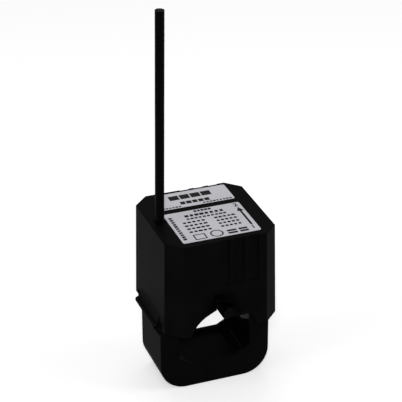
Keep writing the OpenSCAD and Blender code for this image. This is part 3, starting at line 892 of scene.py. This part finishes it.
marks = bmesh.new()
thin_block(marks, [(19.3, -20.2), (20.6, -20.2), (20.6, -3.6), (21.9, -3.6), (19.95, 1.0),
                   (18.0, -3.6), (19.3, -3.6)])
thin_block(marks, box_outline(-11.2, -23.2, 6.8, 5.8), box_outline(-11.2, -23.2, 5.4, 4.4))
thin_block(marks, round_outline(-1.5, -22.9, 3.7), round_outline(-1.5, -22.9, 2.9))
thin_block(marks, box_outline(7.2, -22.4, 5.4, 1.8))
thin_block(marks, box_outline(7.2, -25.0, 5.4, 1.8))
thin_block(marks, box_outline(13.8, -22.4, 5.0, 1.8))
thin_block(marks, box_outline(13.8, -25.0, 5.0, 1.8))
marks_piece = finished("rating_arrow_and_shapes", marks, printed_ink)
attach(marks_piece, "upper")

figure_size = 5.0 * MM
figure_weight = 0.12 * MM

for figure, x, y in (("1", 19.7, -23.0), ("2", 19.7, 3.6)):
    text = bpy.data.curves.new("figure_" + figure, "FONT")
    text.body = figure
    text.size = figure_size
    text.offset = figure_weight
    text.extrude = ink_t / 2
    text.resolution_u = 3
    text.align_x = "CENTER"
    text.align_y = "CENTER"
    maker = bpy.data.objects.new("figure_maker", text)
    bpy.context.scene.collection.objects.link(maker)
    shape = bpy.data.meshes.new_from_object(
        maker.evaluated_get(bpy.context.evaluated_depsgraph_get()))
    shape.name = "rating_figure_" + figure
    bpy.data.objects.remove(maker)
    shape.transform(Matrix.Translation((x * MM, y * MM, ink_z)))
    work = bmesh.new()
    work.from_mesh(shape)
    bmesh.ops.remove_doubles(work, verts=work.verts, dist=1e-7)
    bmesh.ops.recalc_face_normals(work, faces=work.faces)
    work.to_mesh(shape)
    work.free()
    shape.materials.clear()
    shape.materials.append(printed_ink)
    piece = bpy.data.objects.new(shape.name, shape)
    bpy.context.scene.collection.objects.link(piece)
    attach(piece, "upper")


# ---- Floor, lamps and backdrop ----
# A plain pale studio: a white floor that takes the soft shadow, a lamp box high
# behind the transformer, one at each side, and a small one in front.

white_for_eye = 0.36


def eye_rays(tree):
    """1 for rays from the camera, mirrors or glass, 0 for the light that falls on things."""
    path = tree.nodes.new("ShaderNodeLightPath")
    seen = math_step(tree, "MAXIMUM", path.outputs["Is Camera Ray"], path.outputs["Is Glossy Ray"])
    return math_step(tree, "MAXIMUM", seen, path.outputs["Is Transmission Ray"])


def level_for(tree, lighting, seen):
    """One strength for the light that falls on things, another for what the eye sees."""
    level = tree.nodes.new("ShaderNodeMapRange")
    level.inputs["To Min"].default_value = lighting
    level.inputs["To Max"].default_value = seen
    tree.links.new(eye_rays(tree), level.inputs["Value"])
    return level.outputs["Result"]


floor_half = 3.0
floor_corners = [
    (x * floor_half, y * floor_half, 0) for x, y in ((-1, -1), (1, -1), (1, 1), (-1, 1))]
floor_mesh = bpy.data.meshes.new("floor")
floor_mesh.from_pydata(floor_corners, [], [(0, 1, 2, 3)])
floor_white = new_material("floor_white", Base_Color=(0.8, 0.8, 0.8, 1), Roughness=0.9,
                           Specular_IOR_Level=0.1, Emission_Color=(1, 1, 1, 1))
floor_tree = floor_white.node_tree
floor_tree.links.new(
    level_for(floor_tree, lighting=0.0, seen=white_for_eye),
    floor_tree.nodes["Principled BSDF"].inputs["Emission Strength"])
floor_mesh.materials.append(floor_white)
floor = bpy.data.objects.new("floor", floor_mesh)
bpy.context.scene.collection.objects.link(floor)

lit_point = Vector((0, 0, 0.06))


def soft_box(name, place, size, power):
    """A lamp box, turned to the middle of the transformer."""
    light_data = bpy.data.lights.new(name, "AREA")
    light_data.shape = "RECTANGLE"
    light_data.size, light_data.size_y = size
    light_data.energy = power
    light = bpy.data.objects.new(name, light_data)
    light.location = place
    light.rotation_euler = (lit_point - Vector(place)).to_track_quat("-Z", "Y").to_euler()
    bpy.context.scene.collection.objects.link(light)


soft_box("back_box", (0.1, 0.7, 1.3), (1.0, 0.8), 4)
soft_box("left_box", (-1.2, -0.1, 0.7), (0.8, 0.8), 5.2)
soft_box("right_box", (1.3, -0.5, 0.7), (0.8, 0.8), 7)
soft_box("front_box", (-0.4, -1.06, 0.9), (0.2, 0.2), 7)

world = bpy.data.worlds.new("studio")
bpy.context.scene.world = world
world.use_nodes = True
background = world.node_tree.nodes["Background"]
background.inputs["Color"].default_value = (1, 1, 1, 1)
world.node_tree.links.new(
    level_for(world.node_tree, lighting=0.32, seen=1.0), background.inputs["Strength"])

bpy.context.scene.view_settings.view_transform = "Standard"
